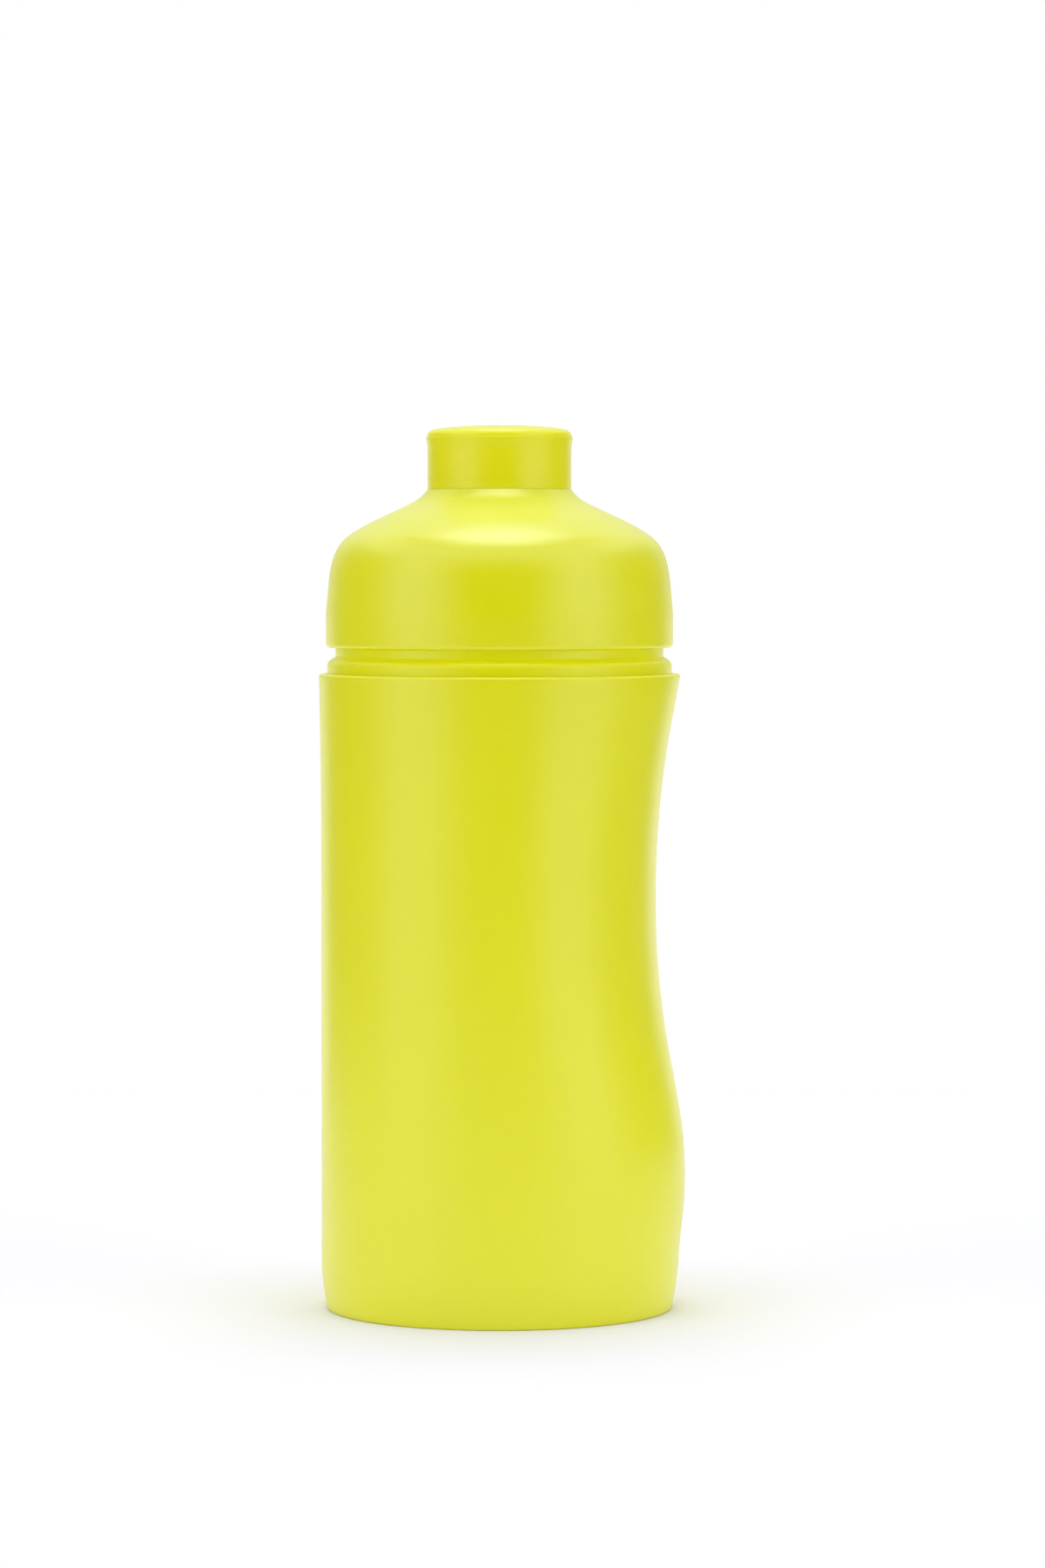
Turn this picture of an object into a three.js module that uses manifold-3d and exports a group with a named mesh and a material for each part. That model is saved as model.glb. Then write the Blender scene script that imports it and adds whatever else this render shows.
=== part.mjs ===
// A squeeze water bottle for a bicycle cage: a round body with a finger grip on one
// side, a screw neck seated in its mouth, a domed screw cap and a push-pull spout.
// Millimetres, +Z up. The origin is on the bottle's axis, on the surface it stands on,
// and +X points to the side with the finger grip.
import * as THREE from "three";
import { mergeVertices } from "three/addons/utils/BufferGeometryUtils.js";
import Module from "manifold-3d";

// ---- Driving dimensions ----

// Facets round the wide pieces, round the spout pieces and round the section of a seal.
const WIDE_FACETS = 48;
const SPOUT_FACETS = 36;
const SEAL_FACETS = 8;

// Running or assembly gap between two pieces that meet.
const GAP = 0.3;

// How far one cut runs past the face that it opens.
const OVERCUT = 0.2;

// Body: a cup of even wall. Its lip flares slightly over the last stretch.
const BODY_RADIUS = 36.5;
const LIP_RADIUS = 36.9;
const LIP_HEIGHT = 129.6;
const LIP_EDGE = 0.4;
const FLARE_START = 95;
const BODY_WALL = 1.5;
const FOOT_INNER_RADIUS = 27.5;
const BASE_PUSH_UP = 2.4;
const PUSH_UP_RADIUS = 24;
// The base's outside edge from the foot up to the wall, and the round corner inside.
const BASE_EDGE = [
  [35, 0],
  [35.4, 0.3],
  [35.7, 1.6],
  [36, 3.3],
  [36.3, 5.6],
  [BODY_RADIUS, 8.5],
];
const INSIDE_CORNER = 3.5;
// How much wider the push-up is inside the wall than under it.
const PUSH_UP_STEP = 0.5;

// Finger grip: how far the +X side stands out from the round body at each height.
const GRIP_HEIGHTS = [0, 4, 10.4, 24.6, 36, 46, 57, 70, 85.4, 96, 107, 117.5, 124, 129.2];
const GRIP_TOP = GRIP_HEIGHTS.at(-1);
const GRIP_REACHES = [0, 0.02, 0.25, 1.5, 1.1, -0.5, -2.5, -4.0, -4.52, -4.2, -3.3, -1.95, -0.85, 0];

// Mouth of the body, where the neck is seated with a little play under its bevel.
const SEAT_RADIUS = 34.5;
const SEAT_BOTTOM = 122.9;
const SEAT_PLAY = 0.2;
const MOUTH_BEVEL_BOTTOM = 127.5;
const MOUTH_RADIUS = 35.6;

// Neck: spigot, collar, land under the cap and threaded tube.
const SPIGOT_BOTTOM = 123.9;
const SPIGOT_RADIUS = 34.1;
const COLLAR_RADIUS = 35.2;
const COLLAR_TOP = 132.85;
const COLLAR_ROUND = 1.2;
const LAND_RADIUS = 33.5;
const NECK_RADIUS = 31.2;
const NECK_BORE = 28.6;
const NECK_TOP = 146.6;
const NECK_EDGE = 0.4;

// Round seals: radius of the ring's centre line, height and radius of its section, then
// the radius of its groove's floor and the room above and below the seal in the groove.
const NECK_SEAL = { ring: 33.78, height: 126, section: 0.42, floor: 33.1, room: 0.2 };
const SPOUT_SEAL = { ring: 12.55, height: 175, section: 0.36, floor: 11.85, room: 0.14 };
const PLUG_SEAL = { ring: 4.45, height: 178.85, section: 0.38, floor: 3.75, room: 0.08 };

// Screw thread, the same on neck and cap: a right-hand thread of a wide pitch.
const PITCH = 5;
const RIDGE_BASE = 1.0;
const RIDGE_CREST = 0.5;
const RIDGE_HEIGHT = 1.55;
const THREAD_PLAY = 0.45;
// A ridge rises over these steps at each end, from this share of its height.
const RIDGE_FADE_STEPS = 4;
const RIDGE_END = 0.3;
const NECK_THREAD = { datum: 137.4, firstStep: 0, steps: 70 };
// The cap's ridge runs just under the neck's, which holds the cap down.
const CAP_THREAD = { datum: NECK_THREAD.datum - 1.85, firstStep: 7, steps: 60 };

// Cap: skirt, dome and the stub that the spout slides on.
const CAP_BOTTOM = 135.1;
const CAP_RADIUS = 35.45;
const CAP_EDGE = 0.4;
const CAP_BORE = NECK_RADIUS + RIDGE_HEIGHT + THREAD_PLAY;
const GASKET_SEAT = 148.6;
const GASKET_OVERHANG = 0.1;
const SEAT_INNER_RADIUS = 27.6;
const STUB_FOOT = 167.2;
const STUB_FOOT_RADIUS = 14.7;
const STUB_RADIUS = 12;
const STUB_BORE = 10.5;
const STUB_TOP = 176.1;
const STUB_BEAD_RADIUS = 12.9;
const STUB_BEAD_BOTTOM = 174;
const STUB_EDGE = 0.3;
const CAP_ROOF = 160.9;
// The dome's outside, from the straight skirt over the shoulder up to the stub's foot.
const DOME = [
  [CAP_RADIUS, 142],
  [35.1, 146.1],
  [34.4, 151.4],
  [33.2, 155],
  [31.6, 157.1],
  [29.4, 158.7],
  [26.4, 160.4],
  [22.6, 162.2],
  [18.9, 163.98],
  [17.4, 164.78],
  [16.3, 165.55],
  [15.5, 166.35],
  [STUB_FOOT_RADIUS, STUB_FOOT],
];
// The dome's inside, from the roof down to the gasket's seat.
const DOME_INSIDE = [
  [19.5, CAP_ROOF],
  [28.4, 156.2],
  [30, 153.5],
  [SEAT_INNER_RADIUS, 150.2],
];

// Spout: sleeve with a biting lip, stop ring and soft tip.
const SPOUT_RADIUS = 14.65;
const SPOUT_LIP_RADIUS = 14.96;
const SPOUT_BORE = 13.25;
const SPOUT_BOTTOM = STUB_FOOT + GAP;
const SPOUT_TOP = 178;
const SPOUT_EDGE = 0.1;
const SPOUT_ROOF = STUB_TOP + GAP;
// How the sleeve widens to its lip.
const SPOUT_FLARE = [
  [SPOUT_RADIUS, 175.6],
  [14.74, 176.6],
  [14.88, 177.3],
  [SPOUT_LIP_RADIUS, 177.75],
];
const COUNTERBORE = 13.75;
const STOP_RING_BOTTOM = 167.8;
const STOP_RING_TOP = 169;
const STOP_RING_BORE = 12.3;
const STOP_RING_SPLIT = 2;
const TIP_BOTTOM = SPOUT_TOP + GAP;
const TIP_CROWN = 180.4;
const TIP_CROWN_EDGE = 0.3;
// The tip's outside edge, from its foot up to the crown round the drinking hole.
const TIP_EDGE = [
  [14.6, TIP_BOTTOM],
  [14.67, 178.65],
  [14.5, 179],
  [14.12, 179.34],
  [13.55, 179.6],
  [12.8, 179.78],
  [11.5, 179.97],
  [9, 180.19],
];
const DRINK_HOLE = 5.2;
const DRINK_HOLE_BOTTOM = 178;
// The tip's neck goes through the sleeve's roof and ends in a barb below it.
const TIP_NECK_RADIUS = 8;
const TIP_BORE = 6.4;
const TIP_BORE_TOP = 177.4;
const BARB_RADIUS = 9.3;
const BARB_BOTTOM = 175;
const BARB_EDGE = 0.3;

// Valve post: carrier ring, spokes, stem and plug.
const CARRIER_RADIUS = STUB_BORE - GAP;
const CARRIER_BORE = 8.4;
const CARRIER_TOP = 164.5;
const FLANGE_RADIUS = 11.9;
const FLANGE_BOTTOM = 159.3;
const SPOKES = 3;
const SPOKE_WIDTH = 2;
const SPOKE_HEIGHT = 2.4;
const STEM_RADIUS = 2.6;
const STEM_TOP = 173.5;
const PLUG_RADIUS = 4.6;
const PLUG_BOTTOM = 176.6;
const PLUG_TOP = 180.3;
const PLUG_EDGE = 0.7;

// ---- Materials ----

const LIME = 0xd9dc1e;
const SHELL_LOOK = { color: LIME, roughness: 0.45, metalness: 0 };
const SOFT_LOOK = { color: LIME, roughness: 0.6, metalness: 0 };
const SEAL_LOOK = { color: 0xe8e8e2, roughness: 0.7, metalness: 0 };

// ---- Geometry helpers ----

const wasm = await Module();
wasm.setup();

// Corners closer together than this are one corner.
const MERGE_DISTANCE = 1e-4;

const point = (radius, height) => new THREE.Vector2(radius, height);
const points = (list) => list.map(([radius, height]) => point(radius, height));

// Points of an arc about a centre, from one angle to another in degrees.
function arc(radius, height, size, from, to, steps) {
  return Array.from({ length: steps + 1 }, (_, i) => {
    const angle = THREE.MathUtils.degToRad(from + ((to - from) * i) / steps);
    return point(radius + size * Math.cos(angle), height + size * Math.sin(angle));
  });
}

// A closed outline in (radius, height) turned about the Z axis. The outline runs
// anticlockwise, so the faces point out.
function turned(outline, facets) {
  const profile = outline.map((p) => p.clone());
  if (THREE.ShapeUtils.area(profile) < 0) profile.reverse();
  if (profile[0].x > 0) profile.push(profile[0].clone());
  return new THREE.LatheGeometry(profile, facets).rotateX(Math.PI / 2);
}

function solid(geometry) {
  const bare = geometry.clone();
  bare.deleteAttribute("normal");
  bare.deleteAttribute("uv");
  const merged = mergeVertices(bare, MERGE_DISTANCE);
  return new wasm.Manifold(
    new wasm.Mesh({
      numProp: 3,
      vertProperties: merged.attributes.position.array,
      triVerts: new Uint32Array(merged.index.array),
    }),
  );
}

function shape(manifold) {
  const mesh = manifold.getMesh();
  const geometry = new THREE.BufferGeometry();
  geometry.setAttribute("position", new THREE.BufferAttribute(mesh.vertProperties, 3));
  geometry.setIndex(new THREE.BufferAttribute(mesh.triVerts, 1));
  return geometry;
}

const assembly = new THREE.Group();

function addPart(name, geometry, look) {
  geometry.computeVertexNormals();
  const mesh = new THREE.Mesh(geometry, new THREE.MeshStandardMaterial(look));
  mesh.name = name;
  assembly.add(mesh);
}

// A ring of round section that lies in a groove.
function sealRing({ ring, height, section }, facets) {
  return new THREE.TorusGeometry(ring, section, SEAL_FACETS, facets).translate(0, 0, height);
}

// A thread ridge: a trapezoid extruded straight, then wound up along its helix, which
// passes the datum height at +X. It fades into its wall at both ends. outward is 1 for
// a ridge that stands out from the wall and -1 for one that stands in. Each step of the
// winding falls in the middle of one of the wall's facets.
function threadRidge(wall, outward, { datum, firstStep, steps }) {
  const root = -GAP;
  const section = new THREE.Shape([
    point(root, -RIDGE_BASE),
    point(RIDGE_HEIGHT, -RIDGE_CREST),
    point(RIDGE_HEIGHT, RIDGE_CREST),
    point(root, RIDGE_BASE),
  ]);
  const geometry = new THREE.ExtrudeGeometry(section, { depth: steps, steps, bevelEnabled: false });
  const place = geometry.attributes.position;
  for (let i = 0; i < place.count; i += 1) {
    // An outward ridge is wound from its far end, which keeps its faces pointing out.
    const along = outward > 0 ? steps - place.getZ(i) : place.getZ(i);
    const fade = Math.min(1, Math.min(along, steps - along) / RIDGE_FADE_STEPS);
    const rise = root + (place.getX(i) - root) * THREE.MathUtils.lerp(RIDGE_END, 1, fade);
    const radius = wall + outward * rise;
    const turns = (firstStep + along + 0.5) / WIDE_FACETS;
    const angle = turns * 2 * Math.PI;
    const height = datum + PITCH * turns + place.getY(i);
    place.setXYZ(i, radius * Math.cos(angle), radius * Math.sin(angle), height);
  }
  return solid(geometry);
}

// ---- Body ----

const gripReach = new THREE.CubicInterpolant(GRIP_HEIGHTS, GRIP_REACHES, 1);

// Moves the +X half of a turned surface in or out by the grip's reach at its height.
function grip(geometry) {
  const place = geometry.attributes.position;
  for (let i = 0; i < place.count; i += 1) {
    const radius = Math.hypot(place.getX(i), place.getY(i));
    const facing = radius > 0 ? Math.max(0, place.getX(i) / radius) : 0;
    const height = THREE.MathUtils.clamp(place.getZ(i), 0, GRIP_TOP);
    const reach = gripReach.evaluate(height)[0];
    const share = Math.min(1, radius / FOOT_INNER_RADIUS);
    place.setX(i, place.getX(i) + reach * facing * share);
  }
  return geometry;
}

// Outside radius of the body away from the grip.
function bodyRadius(height) {
  const flare = Math.max(0, (height - FLARE_START) / (LIP_HEIGHT - FLARE_START));
  return BODY_RADIUS + (LIP_RADIUS - BODY_RADIUS) * flare * flare;
}

// Points up the body's wall in even rows above a bottom height, set in by an inset.
function wallPoints(bottom, top, rows, inset) {
  return Array.from({ length: rows }, (_, i) => {
    const height = bottom + ((top - bottom) * (i + 1)) / rows;
    return point(bodyRadius(height) - inset, height);
  });
}

const wallBottom = BASE_EDGE.at(-1)[1];
const bodyOutside = [
  point(0, BASE_PUSH_UP),
  point(PUSH_UP_RADIUS, BASE_PUSH_UP),
  point(FOOT_INNER_RADIUS, 0),
  ...points(BASE_EDGE),
  ...wallPoints(wallBottom, LIP_HEIGHT - LIP_EDGE, 18, 0),
  point(LIP_RADIUS - LIP_EDGE, LIP_HEIGHT),
  point(0, LIP_HEIGHT),
];
const floorTop = BASE_PUSH_UP + BODY_WALL;
const insideRadius = BODY_RADIUS - BODY_WALL - INSIDE_CORNER;
const insideHeight = BODY_WALL + INSIDE_CORNER;
const bodyInside = [
  point(0, floorTop),
  point(PUSH_UP_RADIUS + PUSH_UP_STEP, floorTop),
  point(FOOT_INNER_RADIUS + PUSH_UP_STEP, BODY_WALL),
  ...arc(insideRadius, insideHeight, INSIDE_CORNER, -90, 0, 3),
  ...wallPoints(insideHeight, SEAT_BOTTOM + OVERCUT, 12, BODY_WALL),
  point(0, SEAT_BOTTOM + OVERCUT),
];
const mouth = [
  point(0, SEAT_BOTTOM),
  point(SEAT_RADIUS, SEAT_BOTTOM),
  point(SEAT_RADIUS, MOUTH_BEVEL_BOTTOM),
  point(MOUTH_RADIUS, LIP_HEIGHT),
  point(MOUTH_RADIUS, LIP_HEIGHT + OVERCUT),
  point(0, LIP_HEIGHT + OVERCUT),
];
const bodyShell = solid(grip(turned(bodyOutside, WIDE_FACETS)))
  .subtract(solid(grip(turned(bodyInside, WIDE_FACETS))))
  .subtract(solid(turned(mouth, WIDE_FACETS)));
addPart("body_shell", shape(bodyShell), SHELL_LOOK);

// ---- Neck ----

// Corners of a square groove for a round seal, cut from an outside wall.
function groove({ height, section, floor, room }, wall) {
  const low = height - section - room;
  const high = height + section + room;
  return [point(wall, low), point(floor, low), point(floor, high), point(wall, high)];
}

const neckOutline = [
  point(NECK_BORE, SPIGOT_BOTTOM),
  point(SPIGOT_RADIUS, SPIGOT_BOTTOM),
  ...groove(NECK_SEAL, SPIGOT_RADIUS),
  point(SPIGOT_RADIUS, MOUTH_BEVEL_BOTTOM + SEAT_PLAY),
  point(COLLAR_RADIUS, LIP_HEIGHT + SEAT_PLAY),
  ...arc(COLLAR_RADIUS - COLLAR_ROUND, COLLAR_TOP - COLLAR_ROUND, COLLAR_ROUND, 0, 90, 4),
  point(LAND_RADIUS, COLLAR_TOP),
  point(LAND_RADIUS, CAP_BOTTOM - GAP),
  point(NECK_RADIUS, CAP_BOTTOM - GAP),
  point(NECK_RADIUS, NECK_TOP - NECK_EDGE),
  point(NECK_RADIUS - NECK_EDGE, NECK_TOP),
  point(NECK_BORE, NECK_TOP),
];
const neckThread = threadRidge(NECK_RADIUS, 1, NECK_THREAD);
const neckRing = solid(turned(neckOutline, WIDE_FACETS)).add(neckThread);
addPart("neck_ring", shape(neckRing), SHELL_LOOK);
addPart("neck_seal", sealRing(NECK_SEAL, WIDE_FACETS), SEAL_LOOK);

// ---- Cap ----

const capOutline = [
  point(CAP_BORE, CAP_BOTTOM),
  point(CAP_RADIUS - CAP_EDGE, CAP_BOTTOM),
  point(CAP_RADIUS, CAP_BOTTOM + CAP_EDGE),
  ...points(DOME),
  point(STUB_RADIUS, STUB_FOOT),
  point(STUB_RADIUS, STUB_BEAD_BOTTOM),
  point(STUB_BEAD_RADIUS, STUB_BEAD_BOTTOM),
  ...groove(SPOUT_SEAL, STUB_BEAD_RADIUS),
  point(STUB_BEAD_RADIUS, STUB_TOP - STUB_EDGE),
  point(STUB_BEAD_RADIUS - STUB_EDGE, STUB_TOP),
  point(STUB_BORE, STUB_TOP),
  point(STUB_BORE, CAP_ROOF),
  ...points(DOME_INSIDE),
  point(SEAT_INNER_RADIUS, GASKET_SEAT),
  point(CAP_BORE, GASKET_SEAT),
];
const capThread = threadRidge(CAP_BORE, -1, CAP_THREAD);
const capShell = solid(turned(capOutline, WIDE_FACETS)).add(capThread);
addPart("cap_shell", shape(capShell), SHELL_LOOK);

const gasketOutline = [
  point(NECK_BORE - GASKET_OVERHANG, NECK_TOP + GAP),
  point(NECK_RADIUS + GASKET_OVERHANG, NECK_TOP + GAP),
  point(NECK_RADIUS + GASKET_OVERHANG, GASKET_SEAT - GAP),
  point(NECK_BORE - GASKET_OVERHANG, GASKET_SEAT - GAP),
];
addPart("cap_gasket", turned(gasketOutline, WIDE_FACETS), SEAL_LOOK);

// ---- Valve post ----

const carrierOutline = [
  point(CARRIER_BORE, FLANGE_BOTTOM),
  point(FLANGE_RADIUS, FLANGE_BOTTOM),
  point(FLANGE_RADIUS, CAP_ROOF - GAP),
  point(CARRIER_RADIUS, CAP_ROOF - GAP),
  point(CARRIER_RADIUS, CARRIER_TOP),
  point(CARRIER_BORE, CARRIER_TOP),
];
const postOutline = [
  point(0, FLANGE_BOTTOM),
  point(STEM_RADIUS, FLANGE_BOTTOM),
  point(STEM_RADIUS, STEM_TOP),
  point(PLUG_RADIUS, PLUG_BOTTOM),
  ...groove(PLUG_SEAL, PLUG_RADIUS),
  ...arc(PLUG_RADIUS - PLUG_EDGE, PLUG_TOP - PLUG_EDGE, PLUG_EDGE, 0, 90, 3),
  point(0, PLUG_TOP),
];
let valvePost = solid(turned(carrierOutline, SPOUT_FACETS)).add(
  solid(turned(postOutline, SPOUT_FACETS)),
);
// The spokes end inside the carrier ring's wall.
const spokeReach = (CARRIER_BORE + CARRIER_RADIUS) / 2;
for (let i = 0; i < SPOKES; i += 1) {
  const spoke = new THREE.BoxGeometry(spokeReach, SPOKE_WIDTH, SPOKE_HEIGHT)
    .translate(spokeReach / 2, 0, FLANGE_BOTTOM + SPOKE_HEIGHT / 2)
    .rotateZ((i * 2 * Math.PI) / SPOKES);
  valvePost = valvePost.add(solid(spoke));
}
addPart("valve_post", shape(valvePost), SHELL_LOOK);
addPart("plug_seal", sealRing(PLUG_SEAL, SPOUT_FACETS), SEAL_LOOK);
addPart("spout_seal", sealRing(SPOUT_SEAL, SPOUT_FACETS), SEAL_LOOK);

// ---- Spout ----

const sleeveOutline = [
  point(COUNTERBORE, SPOUT_BOTTOM),
  point(SPOUT_RADIUS - SPOUT_EDGE, SPOUT_BOTTOM),
  point(SPOUT_RADIUS, SPOUT_BOTTOM + SPOUT_EDGE),
  ...points(SPOUT_FLARE),
  point(SPOUT_LIP_RADIUS - SPOUT_EDGE, SPOUT_TOP),
  point(TIP_NECK_RADIUS + GAP, SPOUT_TOP),
  point(TIP_NECK_RADIUS + GAP, SPOUT_ROOF),
  point(SPOUT_BORE, SPOUT_ROOF),
  point(SPOUT_BORE, STOP_RING_TOP + GAP),
  point(COUNTERBORE, STOP_RING_TOP + GAP),
];
addPart("spout_sleeve", turned(sleeveOutline, SPOUT_FACETS), SHELL_LOOK);

const stopOutline = [
  point(STOP_RING_BORE, STOP_RING_BOTTOM),
  point(COUNTERBORE - GAP, STOP_RING_BOTTOM),
  point(COUNTERBORE - GAP, STOP_RING_TOP),
  point(STOP_RING_BORE, STOP_RING_TOP),
];
const split = new THREE.BoxGeometry(COUNTERBORE, STOP_RING_SPLIT, COUNTERBORE).translate(
  -COUNTERBORE,
  0,
  STOP_RING_BOTTOM,
);
const stopRing = solid(turned(stopOutline, SPOUT_FACETS)).subtract(solid(split));
addPart("spout_stop_ring", shape(stopRing), SHELL_LOOK);

const tipOutline = [
  point(TIP_NECK_RADIUS, TIP_BOTTOM),
  ...points(TIP_EDGE),
  point(DRINK_HOLE + TIP_CROWN_EDGE, TIP_CROWN),
  point(DRINK_HOLE, TIP_CROWN - TIP_CROWN_EDGE),
  point(DRINK_HOLE, DRINK_HOLE_BOTTOM),
  point(TIP_BORE, TIP_BORE_TOP),
  point(TIP_BORE, BARB_BOTTOM),
  point(BARB_RADIUS - BARB_EDGE, BARB_BOTTOM),
  point(BARB_RADIUS, BARB_BOTTOM + BARB_EDGE),
  point(BARB_RADIUS, SPOUT_ROOF - GAP),
  point(TIP_NECK_RADIUS, SPOUT_ROOF - GAP),
];
addPart("soft_tip", turned(tipOutline, SPOUT_FACETS), SOFT_LOOK);

export default assembly;
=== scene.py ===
"""The lime water bottle's looks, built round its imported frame. Lengths are in millimetres
until a mesh is made, heights are above the surface that the bottle stands on, and the
finger grip is on the +X side."""

import math
from collections import namedtuple

import bmesh
import bpy
import numpy as np
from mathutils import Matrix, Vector


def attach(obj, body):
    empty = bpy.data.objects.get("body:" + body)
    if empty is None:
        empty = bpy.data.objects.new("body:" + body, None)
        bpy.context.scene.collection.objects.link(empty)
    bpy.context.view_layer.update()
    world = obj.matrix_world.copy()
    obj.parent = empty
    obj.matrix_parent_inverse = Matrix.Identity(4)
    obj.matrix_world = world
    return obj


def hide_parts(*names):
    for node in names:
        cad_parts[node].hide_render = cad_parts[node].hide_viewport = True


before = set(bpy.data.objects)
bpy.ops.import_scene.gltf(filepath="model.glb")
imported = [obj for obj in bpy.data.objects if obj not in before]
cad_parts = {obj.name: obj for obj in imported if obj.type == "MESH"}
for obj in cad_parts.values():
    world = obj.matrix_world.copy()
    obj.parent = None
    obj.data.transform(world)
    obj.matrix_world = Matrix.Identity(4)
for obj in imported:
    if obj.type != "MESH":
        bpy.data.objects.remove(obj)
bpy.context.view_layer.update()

MM = 0.001
TURN = 2 * math.pi

# ---- Sizes, the frame's or near them ----

# Facets round a wide piece, a spout piece and the section of a seal.
WIDE = 288
SLIM = 192
SEAL = 20
# Room between a piece and the one that it touches.
GAP = 0.1

# Body.
BODY_RADIUS = 36.5
LIP_RADIUS = 36.9
LIP_HEIGHT = 129.2
FLARE_START = 95
BODY_WALL = 1.5
# The base's outside edge as (radius, height, fillet), from the foot up to the wall.
BASE_EDGE = [(35.3, 0, 0.45), (35.7, 1.8, 3), (36.2, 5, 8)]
# Where the wall's even rows start and end, and how many steps they make outside and inside.
WALL_START = 8.5
OUTSIDE_WALL_END = LIP_HEIGHT - 0.8
OUTSIDE_STEPS = 110
INSIDE_STEPS = 60
INSIDE_CORNER = 3.5
FOOT_INNER_RADIUS = 27.5
BASE_PUSH_UP = 2.4
PUSH_UP_RADIUS = 24
# The same two corners on the inside of the floor.
FLOOR_FOOT_RADIUS = 27.9
FLOOR_PUSH_UP_RADIUS = 24.6
SEAT_RADIUS = 34.5
SEAT_BOTTOM = 122.9
INSIDE_WALL_END = SEAT_BOTTOM - 0.3
MOUTH_BEVEL_BOTTOM = 127.5
MOUTH_RADIUS = 35.45
RIM_TOP = 129.9
# A point this near to the round mouth belongs to it, and the grip leaves it alone.
MOUTH_MARGIN = 0.05
# The grip: at each height, how far it moves the middle of the +X side outwards.
GRIP = [
    (0, 0),
    (4, 0.02),
    (10.4, 0.25),
    (24.6, 1.5),
    (36, 1.1),
    (46, -0.5),
    (57, -2.5),
    (70, -4.0),
    (85.4, -4.52),
    (96, -4.2),
    (107, -3.3),
    (117.5, -1.95),
    (124, -0.85),
    (129.2, 0),
]

# Neck.
SPIGOT_BOTTOM = 123.9
SPIGOT_RADIUS = 34.1
SPIGOT_TOP = MOUTH_BEVEL_BOTTOM + 0.2
COLLAR_RADIUS = 35.2
COLLAR_BOTTOM = LIP_HEIGHT + 0.15
# The collar's shoulder slopes up to the land, and its edge is well rounded.
COLLAR_EDGE = 132.35
COLLAR_TOP = 133.35
COLLAR_ROUND = 2
LAND_RADIUS = 33.5
LAND_TOP = 135.16
NECK_RADIUS = 31.2
NECK_BORE = 28.6
NECK_TOP = 146.6

# Cap.
CAP_BOTTOM = 135.2
CAP_EDGE = 0.85
CAP_RADIUS = 35.45
CAP_BORE = 33.2
SKIRT_TOP = 142
SKIRT_ROWS = (137, 139, 140.5)
GASKET_SEAT = 148.6
SEAT_INNER_RADIUS = 27.6
GASKET_OVERHANG = 0.1
STUB_FOOT = 167.44
STUB_FOOT_RADIUS = 14.66
STUB_RADIUS = 12
STUB_BORE = 10.5
STUB_TOP = 176.1
STUB_BEAD_RADIUS = 12.9
STUB_BEAD_BOTTOM = 174
CAP_ROOF = 160.9
# The cap's outside from the skirt to the stub's foot.
DOME = [
    (CAP_RADIUS, SKIRT_TOP),
    (35.1, 146.1),
    (34.45, 151.5),
    (33.25, 155.15),
    (31.65, 157.3),
    (29.4, 158.95),
    (26.4, 160.65),
    (22.6, 162.45),
    (18.9, 164.2),
    (17.4, 164.98),
    (16.3, 165.72),
    (15.5, 166.47),
    (14.95, 167.1),
    (STUB_FOOT_RADIUS, STUB_FOOT),
]
DOME_STEPS = 7
# The dome's inside as (radius, height, fillet), from the roof out to the gasket's seat.
DOME_INSIDE = [
    (19.5, CAP_ROOF, 3),
    (28.4, 156.2, 2.5),
    (30, 153.5, 1.5),
    (SEAT_INNER_RADIUS, 150.2, 1),
]

# Thread. A ridge starts and ends at angles that match the frame's 48 facets.
PITCH = 5
RIDGE_BASE = 1.0
RIDGE_CREST = 0.5
RIDGE_HEIGHT = 1.55
FACET = TURN / 48
NECK_THREAD = {"datum": 137.4, "start": 0.5 * FACET, "length": 70 * FACET}
CAP_THREAD = {"datum": 135.55, "start": 7.5 * FACET, "length": 60 * FACET}
FADE = 4 * FACET
# More laps than either ridge has.
LAPS = 3
# The threaded walls' lowest and highest rows, and how many steps lie between them.
NECK_WALL = (LAND_TOP + 0.4, NECK_TOP - 0.35)
CAP_WALL = (CAP_BOTTOM + 0.3, GASKET_SEAT - 0.4)
THREAD_STEPS = 90
# A point this near to a wall's radius, and this near to its rows, is on the wall.
WALL_MARGIN = 0.02
ROW_MARGIN = 0.1

# Spout.
SPOUT_RADIUS = 14.65
SPOUT_LIP_RADIUS = 14.96
SPOUT_BORE = 13.25
SPOUT_BOTTOM = 167.47
SPOUT_TOP = 178.08
SPOUT_ROOF = 176.4
SPOUT_ROWS = (169, 171, 173, 174.6)
# Where the sleeve starts to widen to its lip, over which height and in how many steps.
SPOUT_FLARE_BOTTOM = 174.9
SPOUT_FLARE_RISE = 2.7
SPOUT_FLARE_STEPS = 5
COUNTERBORE = 13.75
STOP_RING_BOTTOM = 167.8
STOP_RING_TOP = 169
STOP_RING_BORE = 12.3
STOP_RING_SPLIT = 2
STOP_RING_EDGE = 0.15
TIP_BOTTOM = 178.1
TIP_CROWN = 180.4
TIP_FOOT_RADIUS = 14.76
# The tip's outside edge, from just above its foot up to the crown.
TIP_EDGE = [
    (14.74, 178.3),
    (14.67, 178.65),
    (14.5, 179.0),
    (14.12, 179.34),
    (13.55, 179.6),
    (12.8, 179.78),
    (11.5, 179.97),
    (9, 180.19),
    (6.2, 180.38),
]
TIP_EDGE_STEPS = 4
DRINK_HOLE = 5.2
DRINK_HOLE_BOTTOM = 178
TIP_NECK_RADIUS = 8
TIP_BORE = 6.4
TIP_BORE_TOP = 177.4
# The barb under the sleeve's roof widens from its bottom edge to its full radius.
BARB_RADIUS = 9.3
BARB_SHOULDER = 175.4
BARB_BOTTOM_RADIUS = 9
BARB_BOTTOM = 175

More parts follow.
